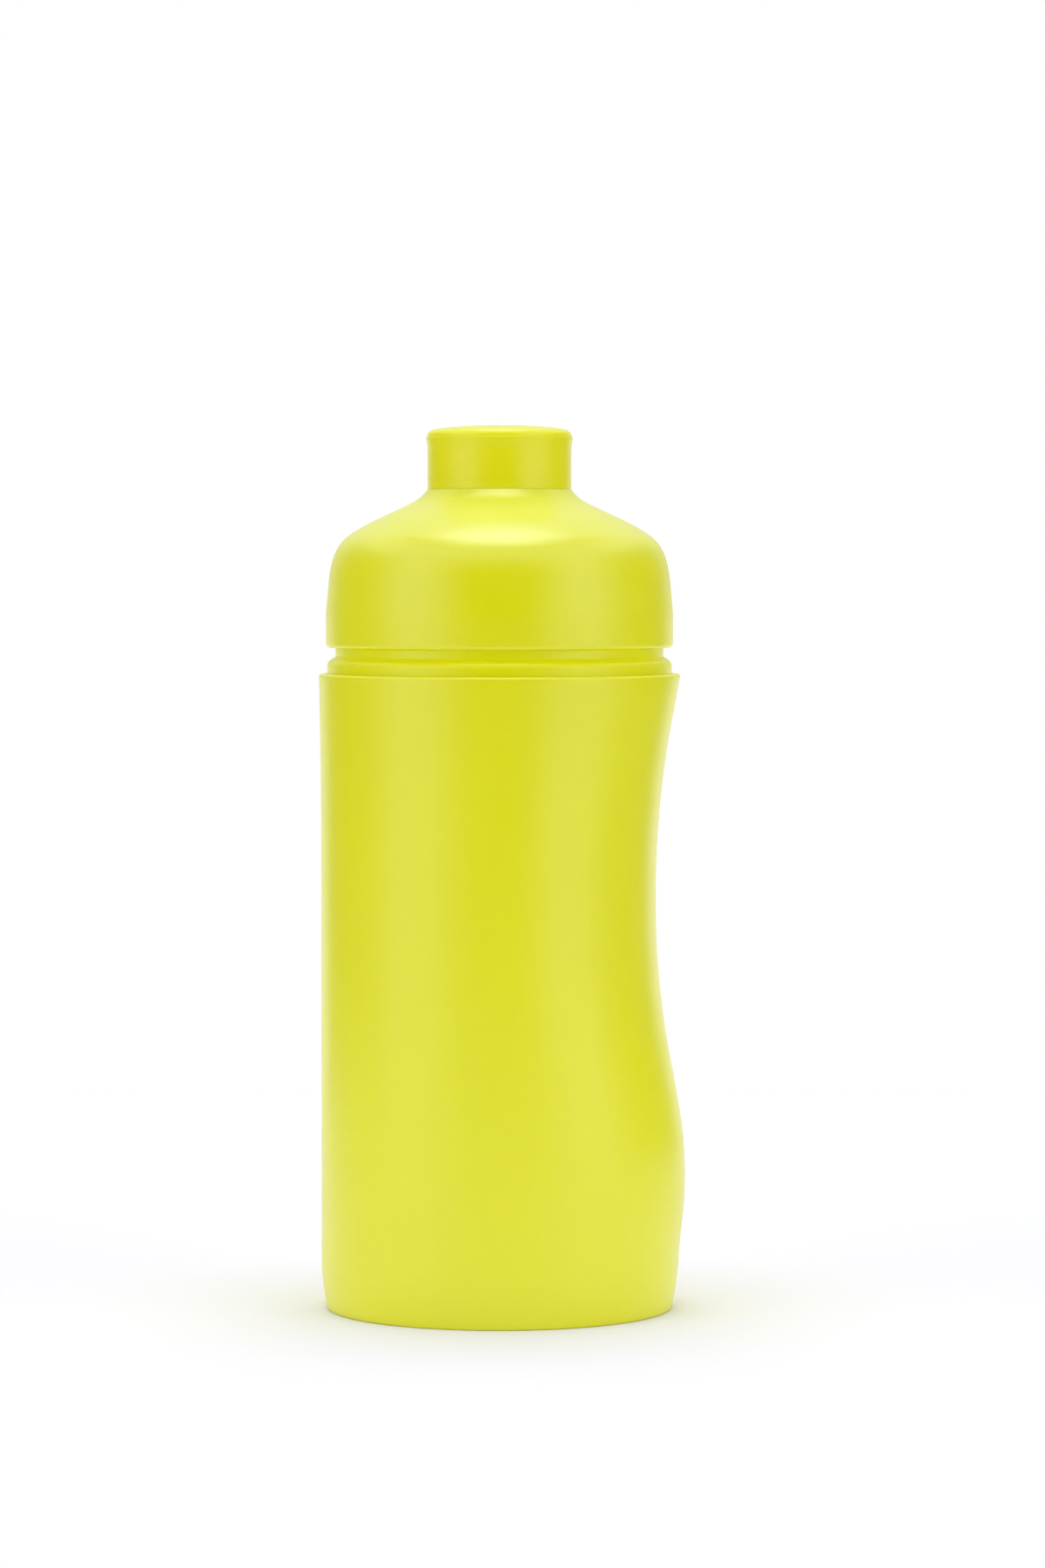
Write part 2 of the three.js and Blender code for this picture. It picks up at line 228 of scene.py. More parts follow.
# Valve post.
CARRIER_RADIUS = 10.2
CARRIER_BORE = 8.4
CARRIER_TOP = 164.5
FLANGE_RADIUS = 11.9
FLANGE_BOTTOM = 159.3
SPOKES = 3
SPOKE_WIDTH = 2
SPOKE_HEIGHT = 2.4
# Where a spoke starts inside the stem and ends inside the carrier ring.
SPOKE_START = 0.5
SPOKE_END = CARRIER_BORE + 0.8
STEM_RADIUS = 2.6
STEM_TOP = 173.5
PLUG_RADIUS = 4.6
PLUG_BOTTOM = 176.6
PLUG_TOP = 180.3
# The plug's top is flat to this radius and falls a little to its edge.
PLUG_FLAT_RADIUS = 2.5
PLUG_EDGE_DROP = 0.05

# Seals: radius of the ring's centre line, its height and the radius of its section, then
# the radius of its groove's floor and the room that the groove leaves above and below it.
Seal = namedtuple("Seal", "ring height section floor room")
NECK_SEAL = Seal(33.78, 126, 0.42, floor=33.1, room=0.2)
SPOUT_SEAL = Seal(12.55, 175, 0.36, floor=11.85, room=0.14)
PLUG_SEAL = Seal(4.45, 178.85, 0.38, floor=3.75, room=0.08)
GROOVE_FILLET = 0.08


# ---- Outlines ----

# Degrees of a fillet that one step covers, and how much of a side a fillet may take.
FILLET_STEP = 12
FILLET_SHARE = 0.49


def rounded(corners, close=True):
    """An outline through (radius, height, fillet) corners, each rounded by its fillet."""
    points = []
    count = len(corners)
    for i, (r, z, fillet) in enumerate(corners):
        here = Vector((r, z))
        if not fillet or (not close and i in (0, count - 1)):
            points.append(here)
            continue
        before = Vector(corners[i - 1][:2])
        after = Vector(corners[(i + 1) % count][:2])
        to_before = (before - here).normalized()
        to_after = (after - here).normalized()
        half = to_before.angle(to_after) / 2
        back = min(
            fillet / math.tan(half),
            FILLET_SHARE * (before - here).length,
            FILLET_SHARE * (after - here).length,
        )
        radius = back * math.tan(half)
        centre = here + (to_before + to_after).normalized() * (radius / math.sin(half))
        first = here + to_before * back - centre
        last = here + to_after * back - centre
        bend = first.angle(last)
        steps = max(2, round(math.degrees(bend) / FILLET_STEP))
        for k in range(steps + 1):
            t = k / steps
            mix = first * math.sin((1 - t) * bend) + last * math.sin(t * bend)
            points.append(centre + mix / math.sin(bend))
    return points


def smooth_curve(stations):
    """A function through (x, y) stations: a cubic with slopes from each one's neighbours."""
    x = np.array([s[0] for s in stations], float)
    y = np.array([s[1] for s in stations], float)
    slope = np.gradient(y, x)

    def at(value):
        value = np.clip(value, x[0], x[-1])
        i = np.clip(np.searchsorted(x, value) - 1, 0, len(x) - 2)
        span = x[i + 1] - x[i]
        t = (value - x[i]) / span
        return (
            (1 + 2 * t) * (1 - t) ** 2 * y[i]
            + t * (1 - t) ** 2 * span * slope[i]
            + t * t * (3 - 2 * t) * y[i + 1]
            + t * t * (t - 1) * span * slope[i + 1]
        )

    return at


def spline(stations, steps):
    """Points along a centripetal curve through (radius, height) stations."""
    p = [Vector(s) for s in stations]
    p = [p[0] * 2 - p[1], *p, p[-1] * 2 - p[-2]]
    points = []
    for a, b, c, d in zip(p, p[1:], p[2:], p[3:]):
        chords = [math.sqrt((v - u).length) for u, v in ((a, b), (b, c), (c, d))]
        ends = np.cumsum([0, *chords])
        for k in range(steps):
            t = ends[1] + (ends[2] - ends[1]) * k / steps

            def mix(u, v, i, j):
                span = ends[j] - ends[i]
                return u * ((ends[j] - t) / span) + v * ((t - ends[i]) / span)

            ab, bc, cd = mix(a, b, 0, 1), mix(b, c, 1, 2), mix(c, d, 2, 3)
            points.append(mix(mix(ab, bc, 0, 2), mix(bc, cd, 1, 3), 1, 2))
    return [*points, p[-2]]


def groove(seal, wall_radius):
    """The four corners of a seal's groove in a wall, from the bottom up."""
    low = seal.height - seal.section - seal.room
    high = seal.height + seal.section + seal.room
    return [
        (wall_radius, low, GROOVE_FILLET),
        (seal.floor, low, GROOVE_FILLET),
        (seal.floor, high, GROOVE_FILLET),
        (wall_radius, high, GROOVE_FILLET),
    ]


def ring_section(seal):
    angles = [TURN * i / SEAL for i in range(SEAL)]
    return [
        (seal.ring + seal.section * math.cos(a), seal.height + seal.section * math.sin(a))
        for a in angles
    ]


# ---- Meshes ----

# Corners nearer to each other than this, in metres, are one.
WELD_DISTANCE = 1e-7
# A point nearer to the axis than this, in millimetres, is on it.
AXIS_MARGIN = 1e-6
# Faces that meet at more degrees than this have a sharp edge between them.
SHARP_ANGLE = 35


def new_mesh(name, vertices, faces):
    mesh = bpy.data.meshes.new(name)
    mesh.from_pydata([tuple(v) for v in np.asarray(vertices) * MM], [], faces)
    return mesh


def weld(mesh):
    """Joins corners that coincide and turns every face outwards."""
    work = bmesh.new()
    work.from_mesh(mesh)
    bmesh.ops.remove_doubles(work, verts=work.verts, dist=WELD_DISTANCE)
    bmesh.ops.recalc_face_normals(work, faces=work.faces)
    work.to_mesh(mesh)
    work.free()


def link(name, mesh):
    made = bpy.data.objects.new(name, mesh)
    bpy.context.scene.collection.objects.link(made)
    return made


def add_piece(name, mesh, body, node, material):
    """Makes a finished piece of a mesh, which stands for a CAD node and rides on its body."""
    weld(mesh)
    mesh.shade_smooth()
    mesh.set_sharp_from_angle(angle=math.radians(SHARP_ANGLE))
    piece = link(name, mesh)
    mesh.materials.append(material)
    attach(piece, body)
    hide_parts(node)
    return piece


def turned_grid(outline, facets, shift=None, sweep=TURN):
    """Vertices and faces of an outline turned about the Z axis. shift moves the points: it
    gets radius, height and angle arrays and returns new x, y and z arrays. A sweep of less
    than a turn leaves its gap on the -X side and closes both ends."""
    whole = sweep >= TURN
    columns = facets if whole else facets + 1
    angle = np.linspace(0, sweep, facets + 1)[:columns]
    if not whole:
        angle = angle + (TURN - sweep) / 2 + math.pi
    radius = np.array([p[0] for p in outline])[:, None] + 0 * angle[None, :]
    height = np.array([p[1] for p in outline])[:, None] + 0 * angle[None, :]
    angle = angle[None, :] + 0 * radius
    if shift:
        x, y, z = shift(radius, height, angle)
    else:
        x, y, z = radius * np.cos(angle), radius * np.sin(angle), height
    vertices = np.stack([x, y, z], axis=-1).reshape(-1, 3)
    rows = len(outline)
    on_axis = [p[0] < AXIS_MARGIN for p in outline]
    faces = []
    for i in range(rows):
        j = (i + 1) % rows
        if on_axis[i] and on_axis[j]:
            continue
        for k in range(facets):
            n = (k + 1) % columns
            corners = [i * columns + k, i * columns + n, j * columns + n, j * columns + k]
            if on_axis[i]:
                corners.pop(1)
            elif on_axis[j]:
                corners.pop(2)
            faces.append(corners)
    if not whole:
        faces.append([i * columns for i in range(rows)])
        faces.append([i * columns + facets for i in range(rows)])
    return vertices, faces


def add_turned(name, outline, facets, body, node, material, shift=None, sweep=TURN):
    mesh = new_mesh(name, *turned_grid(outline, facets, shift, sweep))
    return add_piece(name, mesh, body, node, material)


# ---- Materials ----

# The part of its range from 0 to 1 that a noise node mostly stays in.
NOISE_LOW = 0.3
NOISE_HIGH = 0.7
NOISE_ROUGHNESS = 0.55
# A Mix node's sockets for its two colours, and for the colour that comes out.
MIX_FIRST, MIX_SECOND, MIX_RESULT = 6, 7, 2

# Noise scales, in lumps a metre, with the detail of each and its stretch by axis.
DRIFT_NOISE = (38, 3, (1, 1, 0.5))
SATIN_NOISE = (160, 4)
GRAIN_NOISE = (5200, 3)
WAVE_NOISE = (55, 2, (1, 1, 0.35))
# How dark the drift gets, and how far satin patches move the roughness either way.
DRIFT_SHADE = 0.975
SATIN_SPREAD = 0.025
# Bump strengths and depths, in metres.
GRAIN_STRENGTH = 0.10
GRAIN_DEPTH = 0.00004
WAVE_STRENGTH = 0.25
WAVE_DEPTH = 0.00006
PLASTIC_IOR = 1.5


class Nodes:
    """A material's node tree, with short calls to add and join nodes."""

    def __init__(self, name):
        self.material = bpy.data.materials.new(name)
        self.material.use_nodes = True
        self.tree = self.material.node_tree
        self.shader = self.tree.nodes["Principled BSDF"]
        self.place = self.add("ShaderNodeTexCoord").outputs["Object"]

    def add(self, kind, **values):
        """A new node, with its settings and the values of its sockets."""
        node = self.tree.nodes.new(kind)
        for key, value in values.items():
            if hasattr(node, key):
                setattr(node, key, value)
            else:
                node.inputs[key.replace("_", " ")].default_value = value
        return node

    def join(self, source, target):
        self.tree.links.new(source, target)

    def noise(self, scale, detail, stretch=(1, 1, 1)):
        mapping = self.add("ShaderNodeMapping", Scale=stretch)
        self.join(self.place, mapping.inputs["Vector"])
        noise = self.add(
            "ShaderNodeTexNoise", Scale=scale, Detail=detail, Roughness=NOISE_ROUGHNESS
        )
        self.join(mapping.outputs["Vector"], noise.inputs["Vector"])
        return noise.outputs["Fac"]

    def span(self, noise, low, high):
        """Noise spread over low to high."""
        node = self.add(
            "ShaderNodeMapRange",
            From_Min=NOISE_LOW,
            From_Max=NOISE_HIGH,
            To_Min=low,
            To_Max=high,
        )
        self.join(noise, node.inputs["Value"])
        return node.outputs["Result"]

    def blend(self, share, first, second):
        """The first colour where share is 0, and the second where it is 1."""
        node = self.add("ShaderNodeMix", data_type="RGBA")
        node.inputs[MIX_FIRST].default_value = (*first, 1)
        node.inputs[MIX_SECOND].default_value = (*second, 1)
        self.join(share, node.inputs["Factor"])
        return node.outputs[MIX_RESULT]

    def multiply(self, first, second):
        node = self.add("ShaderNodeMix", data_type="RGBA", blend_type="MULTIPLY")
        node.inputs["Factor"].default_value = 1
        self.join(first, node.inputs[MIX_FIRST])
        self.join(second, node.inputs[MIX_SECOND])
        return node.outputs[MIX_RESULT]

    def bump(self, height, strength, depth, normal=None):
        node = self.add("ShaderNodeBump", Strength=strength, Distance=depth)
        self.join(height, node.inputs["Height"])
        if normal:
            self.join(normal, node.inputs["Normal"])
        return node.outputs["Normal"]

    def by_height(self, stops):
        """A colour that goes from one (height, colour) stop to the next, lowest first."""
        split = self.add("ShaderNodeSeparateXYZ")
        self.join(self.place, split.inputs["Vector"])
        bottom, top = stops[0][0], stops[-1][0]
        share = self.add("ShaderNodeMapRange", From_Min=bottom * MM, From_Max=top * MM)
        self.join(split.outputs["Z"], share.inputs["Value"])
        ramp = self.add("ShaderNodeValToRGB")
        self.join(share.outputs["Result"], ramp.inputs["Fac"])
        positions = [(height - bottom) / (top - bottom) for height, _ in stops]
        colours = [(*colour, 1) for _, colour in stops]
        set_stops(ramp.color_ramp, positions, colours)
        return ramp.outputs["Color"]


def set_stops(color_ramp, positions, colours):
    """Gives a colour ramp its stops, lowest first."""
    elements = color_ramp.elements
    while len(elements) < len(positions):
        elements.new(0.5)
    for element, position, colour in zip(elements, positions, colours):
        element.position = position
        element.color = colour


def plastic(name, colours, roughness, grain=1.0, specular=0.5):
    """Moulded plastic: colours by height, some of them painted light and painted highlights,
    with a slow drift, satin patches, a fine spark-eroded grain and the faint waves of a
    moulded wall."""
    n = Nodes(name)
    drift = n.span(n.noise(*DRIFT_NOISE), 0, 1)
    shade = n.blend(drift, (DRIFT_SHADE,) * 3, (1, 1, 1))
    n.join(n.multiply(n.by_height(colours), shade), n.shader.inputs["Base Color"])
    satin = n.span(n.noise(*SATIN_NOISE), roughness - SATIN_SPREAD, roughness + SATIN_SPREAD)
    n.join(satin, n.shader.inputs["Roughness"])
    fine = n.bump(n.noise(*GRAIN_NOISE), GRAIN_STRENGTH * grain, GRAIN_DEPTH)
    waves = n.bump(n.noise(*WAVE_NOISE), WAVE_STRENGTH, WAVE_DEPTH, fine)
    n.join(waves, n.shader.inputs["Normal"])
    n.shader.inputs["IOR"].default_value = PLASTIC_IOR
    n.shader.inputs["Specular IOR Level"].default_value = specular
    return n.material


LIME = (0.905, 0.9, 0.003)
# Painted highlight: the dome, the spout's top and the tip's crown are painted paler where the
# overhead light falls most.
PAINTED_HIGHLIGHT_LIME = (0.84, 0.87, 0.08)
# Painted light: the dome's edge under the spout is painted paler, lifting the shade in the
# crease by the spout.
FOOT_PAINTED_LIGHT_LIME = (0.89, 0.91, 0.03)
NECK_LIME = (0.92, 0.91, 0.001)
SPOUT_LIME = (0.97, 0.93, 0.001)
# Painted light: a lighter lime lifts the shade in the neck's groove under the cap, at the
# spout sleeve's foot and on the tip's sides by its seam.
PAINTED_LIGHT_LIME = (0.99, 0.98, 0.002)
SILICONE = (0.78, 0.78, 0.74)

BODY_COLOURS = [(0, LIME), (130, LIME)]
# Painted light: from the collar's shoulder up, the neck is painted lighter, lifting the shade
# in the groove under the cap.
NECK_COLOURS = [
    (124, NECK_LIME),
    (131.8, NECK_LIME),
    (132.9, PAINTED_LIGHT_LIME),
    (147, PAINTED_LIGHT_LIME),
]
# A painted highlight on the dome, and painted light lifting the shade at its edge under the
# spout.
CAP_COLOURS = [
    (135, LIME),
    (152, LIME),
    (159, PAINTED_HIGHLIGHT_LIME),
    (164, PAINTED_HIGHLIGHT_LIME),
    (166, FOOT_PAINTED_LIGHT_LIME),
    (167.2, FOOT_PAINTED_LIGHT_LIME),
    (167.7, LIME),
]
# Painted light on the sleeve's foot, lifting the shade where it meets the dome, and a painted
# highlight on its top.
SPOUT_COLOURS = [
    (159, PAINTED_LIGHT_LIME),
    (168, PAINTED_LIGHT_LIME),
    (169.5, SPOUT_LIME),
    (179.4, SPOUT_LIME),
    (180.2, PAINTED_HIGHLIGHT_LIME),
]
# Painted light on the tip's sides, lifting the shade by its seam, and a painted highlight on
# its crown.
TIP_COLOURS = [
    (175, PAINTED_LIGHT_LIME),
    (178.8, PAINTED_LIGHT_LIME),
    (179.5, PAINTED_HIGHLIGHT_LIME),
    (181, PAINTED_HIGHLIGHT_LIME),
]
SEAL_COLOURS = [(0, SILICONE), (181, SILICONE)]

body_plastic = plastic("lime_polyethylene", BODY_COLOURS, 0.3, specular=0.8)
cap_plastic = plastic("lime_cap_plastic", CAP_COLOURS, 0.3, specular=0.8)
neck_plastic = plastic("lime_neck_plastic", NECK_COLOURS, 0.3, specular=0.5)
spout_plastic = plastic("lime_spout_plastic", SPOUT_COLOURS, 0.3, specular=0.6)
tip_plastic = plastic("lime_soft_tip", TIP_COLOURS, 0.36, grain=1.6, specular=0.7)
silicone = plastic("off_white_silicone", SEAL_COLOURS, 0.55, grain=2)


# ---- Body ----

grip_reach = smooth_curve(GRIP)


def with_grip(radius, height, angle):
    """Moves the +X half in or out by the grip's reach, but not the mouth, which is round."""
    facing = np.maximum(0, np.cos(angle))
    share = np.minimum(1, radius / FOOT_INNER_RADIUS)
    above_seat = height > SEAT_BOTTOM - MOUTH_MARGIN
    inside_mouth = above_seat & (radius < MOUTH_RADIUS + MOUTH_MARGIN)
    reach = np.where(inside_mouth, 0, grip_reach(height)) * facing * share
    return radius * np.cos(angle) + reach, radius * np.sin(angle), height


def body_radius(height):
    flare = max(0, (height - FLARE_START) / (LIP_HEIGHT - FLARE_START))
    return BODY_RADIUS + (LIP_RADIUS - BODY_RADIUS) * flare * flare


def wall(start, end, inset, steps):
    heights = [start + (end - start) * i / steps for i in range(steps + 1)]
    return [(body_radius(z) - inset, z, 0) for z in heights]


floor_top = BASE_PUSH_UP + BODY_WALL
body_outline = [
    (0, BASE_PUSH_UP, 0),
    (PUSH_UP_RADIUS, BASE_PUSH_UP, 3),
    (FOOT_INNER_RADIUS, 0, 2.5),
    *BASE_EDGE,
    *wall(WALL_START, OUTSIDE_WALL_END, 0, OUTSIDE_STEPS),
    (LIP_RADIUS, RIM_TOP, 0.6),
    (MOUTH_RADIUS, RIM_TOP, 0.25),
    (SEAT_RADIUS, MOUTH_BEVEL_BOTTOM, 0.3),
    (SEAT_RADIUS, SEAT_BOTTOM, 0.2),
    *wall(INSIDE_WALL_END, WALL_START, BODY_WALL, INSIDE_STEPS),
    (BODY_RADIUS - BODY_WALL, BODY_WALL, INSIDE_CORNER),
    (FLOOR_FOOT_RADIUS, BODY_WALL, 2),
    (FLOOR_PUSH_UP_RADIUS, floor_top, 3),
    (0, floor_top, 0),
]
add_turned(
    "bottle_body",
    rounded(body_outline, close=False),
    WIDE,
    "bottle",
    "body_shell",
    body_plastic,
    shift=with_grip,
)


# ---- Neck ----


def ridge(height, angle, thread):
    """How far a thread ridge stands from its wall, in millimetres."""
    total = np.zeros_like(height)
    for lap in range(LAPS):
        along = np.mod(angle, TURN) + lap * TURN - thread["start"]
        middle = thread["datum"] + PITCH * (along + thread["start"]) / TURN
        off = np.abs(height - middle)
        slope = np.clip((RIDGE_BASE - off) / (RIDGE_BASE - RIDGE_CREST), 0, 1)
        slope = slope * slope * (3 - 2 * slope)
        ends = np.minimum(along, thread["length"] - along) / FADE
        total = np.maximum(total, RIDGE_HEIGHT * slope * np.clip(ends, 0, 1))
    return total


def threaded(wall_radius, bottom, top, outward, thread):
    """A shift for turned_grid that raises a thread from a wall between two heights:
    outwards if outward is 1, and inwards if it is -1."""

    def shift(radius, height, angle):
        on_wall = np.abs(radius - wall_radius) < WALL_MARGIN
        on_wall &= (height > bottom) & (height < top)
        radius = radius + outward * np.where(on_wall, ridge(height, angle, thread), 0)
        return radius * np.cos(angle), radius * np.sin(angle), height

    return shift


def thread_rows(radius, start, end):
    rows = range(THREAD_STEPS + 1)
    return [(radius, start + (end - start) * i / THREAD_STEPS, 0) for i in rows]


neck_outline = [
    (NECK_BORE, SPIGOT_BOTTOM, 0.3),
    (SPIGOT_RADIUS, SPIGOT_BOTTOM, 0.3),
    *groove(NECK_SEAL, SPIGOT_RADIUS),
    (SPIGOT_RADIUS, SPIGOT_TOP, 0.2),
    (COLLAR_RADIUS, COLLAR_BOTTOM, 0.3),
    (COLLAR_RADIUS, COLLAR_EDGE, COLLAR_ROUND),
    (LAND_RADIUS, COLLAR_TOP, 0.25),
    (LAND_RADIUS, LAND_TOP, 0.04),
    (NECK_RADIUS, LAND_TOP, 0.2),
    *thread_rows(NECK_RADIUS, *NECK_WALL),
    (NECK_RADIUS, NECK_TOP, 0.3),
    (NECK_BORE, NECK_TOP, 0.3),
]
add_turned(
    "bottle_neck",
    rounded(neck_outline),
    WIDE,
    "bottle",
    "neck_ring",
    neck_plastic,
    shift=threaded(NECK_RADIUS, NECK_WALL[0] - ROW_MARGIN, NECK_TOP, 1, NECK_THREAD),
)
add_turned(
    "neck_ring_seal",
    ring_section(NECK_SEAL),
    WIDE,
    "bottle",
    "neck_seal",
    silicone,
)


# ---- Cap ----

cap_outline = [
    (CAP_BORE, CAP_BOTTOM, 0.25),
    (CAP_RADIUS, CAP_BOTTOM, CAP_EDGE),
    *[(CAP_RADIUS, z, 0) for z in SKIRT_ROWS],
    *[(r, z, 0) for r, z in spline(DOME, DOME_STEPS)],
    (STUB_RADIUS, STUB_FOOT, 0.2),
    (STUB_RADIUS, STUB_BEAD_BOTTOM, 0.15),
    (STUB_BEAD_RADIUS, STUB_BEAD_BOTTOM, 0.15),
    *groove(SPOUT_SEAL, STUB_BEAD_RADIUS),
    (STUB_BEAD_RADIUS, STUB_TOP, 0.3),
    (STUB_BORE, STUB_TOP, 0.25),
    (STUB_BORE, CAP_ROOF, 0.25),
    *DOME_INSIDE,
    (SEAT_INNER_RADIUS, GASKET_SEAT, 0.3),
    (CAP_BORE, GASKET_SEAT, 0.2),
    *reversed(thread_rows(CAP_BORE, *CAP_WALL)),
]
add_turned(
    "screw_cap",
    rounded(cap_outline),
    WIDE,
    "cap",
    "cap_shell",
    cap_plastic,
    shift=threaded(CAP_BORE, CAP_BOTTOM, CAP_WALL[1] + ROW_MARGIN, -1, CAP_THREAD),
)

gasket_bottom = NECK_TOP + GAP
gasket_top = GASKET_SEAT - GAP
gasket_outline = [
    (NECK_BORE - GASKET_OVERHANG, gasket_bottom, 0.2),
    (NECK_RADIUS + GASKET_OVERHANG, gasket_bottom, 0.2),
    (NECK_RADIUS + GASKET_OVERHANG, gasket_top, 0.2),
    (NECK_BORE - GASKET_OVERHANG, gasket_top, 0.2),
]
add_turned(
    "flat_gasket",
    rounded(gasket_outline),
    WIDE,
    "gasket",
    "cap_gasket",
    silicone,
)


# ---- Valve post ----


def loose_object(name, vertices, faces):
    """An object for joining to others, which is not a piece of its own."""
    mesh = new_mesh(name, vertices, faces)
    weld(mesh)
    return link(name, mesh)


def boolean_union(target, tools):
    """One mesh of all the objects, which are deleted."""
    for tool in tools:
        modifier = target.modifiers.new("join", "BOOLEAN")
        modifier.operation = "UNION"
        modifier.solver = "EXACT"
        modifier.object = tool
    bpy.context.view_layer.update()
    evaluated = target.evaluated_get(bpy.context.evaluated_depsgraph_get())
    mesh = bpy.data.meshes.new_from_object(evaluated)
    for tool in [target, *tools]:
        bpy.data.objects.remove(tool)
    return mesh


def spoke(angle):
    """A bar from the stem to the carrier ring, with rounded top and bottom edges."""
    half = SPOKE_WIDTH / 2
    bottom, top = FLANGE_BOTTOM + GAP, FLANGE_BOTTOM + SPOKE_HEIGHT
    section = rounded(
        [
            (-half, bottom, 0.3),
            (half, bottom, 0.3),
            (half, top, 0.5),
            (-half, top, 0.5),
        ]
    )
    count = len(section)
    cos, sin = math.cos(angle), math.sin(angle)
    vertices = [
        (reach * cos - across * sin, reach * sin + across * cos, height)
        for reach in (SPOKE_START, SPOKE_END)
        for across, height in section
    ]
    sides = [(i, (i + 1) % count) for i in range(count)]
    faces = [[i, j, count + j, count + i] for i, j in sides]
    faces += [list(range(count)), list(range(count, 2 * count))]
    return loose_object("spoke", vertices, faces)


carrier_outline = [
    (CARRIER_BORE, FLANGE_BOTTOM, 0.3),
    (FLANGE_RADIUS, FLANGE_BOTTOM, 0.3),
    (FLANGE_RADIUS, CAP_ROOF - GAP, 0.2),
    (CARRIER_RADIUS, CAP_ROOF - GAP, 0.1),
    (CARRIER_RADIUS, CARRIER_TOP, 0.3),
    (CARRIER_BORE, CARRIER_TOP, 0.3),
]
post_outline = [
    (0, FLANGE_BOTTOM, 0),
    (STEM_RADIUS, FLANGE_BOTTOM, 0.5),
    (STEM_RADIUS, STEM_TOP, 1.5),
    (PLUG_RADIUS, PLUG_BOTTOM, 0.8),
    *groove(PLUG_SEAL, PLUG_RADIUS),
    (PLUG_RADIUS, PLUG_TOP - PLUG_EDGE_DROP, 0.6),
    (PLUG_FLAT_RADIUS, PLUG_TOP, 1),
    (0, PLUG_TOP, 0),
]
carrier = loose_object("carrier", *turned_grid(rounded(carrier_outline), SLIM))
post = loose_object("post", *turned_grid(rounded(post_outline, close=False), SLIM))
spokes = [spoke(TURN * i / SPOKES) for i in range(SPOKES)]
post_mesh = boolean_union(carrier, [*spokes, post])
post_mesh.name = "plug_post"
add_piece("plug_post", post_mesh, "cap", "valve_post", spout_plastic)
add_turned(
    "plug_ring_seal",
    ring_section(PLUG_SEAL),
    SLIM,
    "cap",
    "plug_seal",
    silicone,
)
add_turned(
    "spout_ring_seal",
    ring_section(SPOUT_SEAL),
    SLIM,
    "cap",
    "spout_seal",
    silicone,
)


# ---- Spout ----


def spout_flare():
    """The sleeve's rows from where it starts to widen up to its lip."""
    widening = SPOUT_LIP_RADIUS - SPOUT_RADIUS
    shares = [i / SPOUT_FLARE_STEPS for i in range(SPOUT_FLARE_STEPS + 1)]
    return [
        (SPOUT_RADIUS + widening * t * t, SPOUT_FLARE_BOTTOM + SPOUT_FLARE_RISE * t, 0)
        for t in shares
    ]


sleeve_outline = [
    (COUNTERBORE, SPOUT_BOTTOM, 0.15),
    (SPOUT_RADIUS, SPOUT_BOTTOM, 0.04),
    *[(SPOUT_RADIUS, z, 0) for z in SPOUT_ROWS],
    *spout_flare(),
    (SPOUT_LIP_RADIUS, SPOUT_TOP, 0.2),
    (TIP_NECK_RADIUS + GAP, SPOUT_TOP, 0.2),
    (TIP_NECK_RADIUS + GAP, SPOUT_ROOF, 0.2),
    (SPOUT_BORE, SPOUT_ROOF, 0.3),
    (SPOUT_BORE, STOP_RING_TOP + GAP, 0.1),
    (COUNTERBORE, STOP_RING_TOP + GAP, 0.1),
]
add_turned(
    "pull_spout",
    rounded(sleeve_outline),
    SLIM,
    "spout",
    "spout_sleeve",
    spout_plastic,
)

stop_ring_radius = COUNTERBORE - GAP / 2
stop_outline = [
    (STOP_RING_BORE, STOP_RING_BOTTOM, STOP_RING_EDGE),
    (stop_ring_radius, STOP_RING_BOTTOM, STOP_RING_EDGE),
    (stop_ring_radius, STOP_RING_TOP, STOP_RING_EDGE),
    (STOP_RING_BORE, STOP_RING_TOP, STOP_RING_EDGE),
]
add_turned(
    "stop_ring",
    rounded(stop_outline),
    SLIM,
    "spout",
    "spout_stop_ring",
    spout_plastic,
    sweep=TURN - STOP_RING_SPLIT / COUNTERBORE,
)

tip_outline = [
    (TIP_NECK_RADIUS, TIP_BOTTOM, 0.1),
    (TIP_FOOT_RADIUS, TIP_BOTTOM, 0.05),
    *[(r, z, 0) for r, z in spline(TIP_EDGE, TIP_EDGE_STEPS)],
    (DRINK_HOLE, TIP_CROWN, 0.35),
    (DRINK_HOLE, DRINK_HOLE_BOTTOM, 0.2),
    (TIP_BORE, TIP_BORE_TOP, 0.2),
    (TIP_BORE, BARB_BOTTOM, 0.2),
    (BARB_BOTTOM_RADIUS, BARB_BOTTOM, 0.2),
    (BARB_RADIUS, BARB_SHOULDER, 0.2),
    (BARB_RADIUS, SPOUT_ROOF - GAP, 0.15),
    (TIP_NECK_RADIUS, SPOUT_ROOF - GAP, 0.05),
]
add_turned(
    "drinking_tip",
    rounded(tip_outline),
    SLIM,
    "spout",
    "soft_tip",
    tip_plastic,
)


# ---- Floor ----

TABLE_RADIUS = 450
TABLE_SIDES = 180
TABLE_COLOUR = (0.874, 0.876, 0.943, 1)
TABLE_ROUGHNESS = 0.9


def add_floor():
    """A round white table top."""
    angles = [TURN * i / TABLE_SIDES for i in range(TABLE_SIDES)]
    rim = [(TABLE_RADIUS * math.cos(a), TABLE_RADIUS * math.sin(a), 0) for a in angles]
    mesh = new_mesh("table_top", rim, [tuple(range(TABLE_SIDES))])
    floor = link("table_top", mesh)
    material = bpy.data.materials.new("white_table")
    material.use_nodes = True
    shader = material.node_tree.nodes["Principled BSDF"]
    shader.inputs["Base Color"].default_value = TABLE_COLOUR
    shader.inputs["Roughness"].default_value = TABLE_ROUGHNESS
    shader.inputs["Specular IOR Level"].default_value = 0
    mesh.materials.append(material)


add_floor()


# ---- Light ----

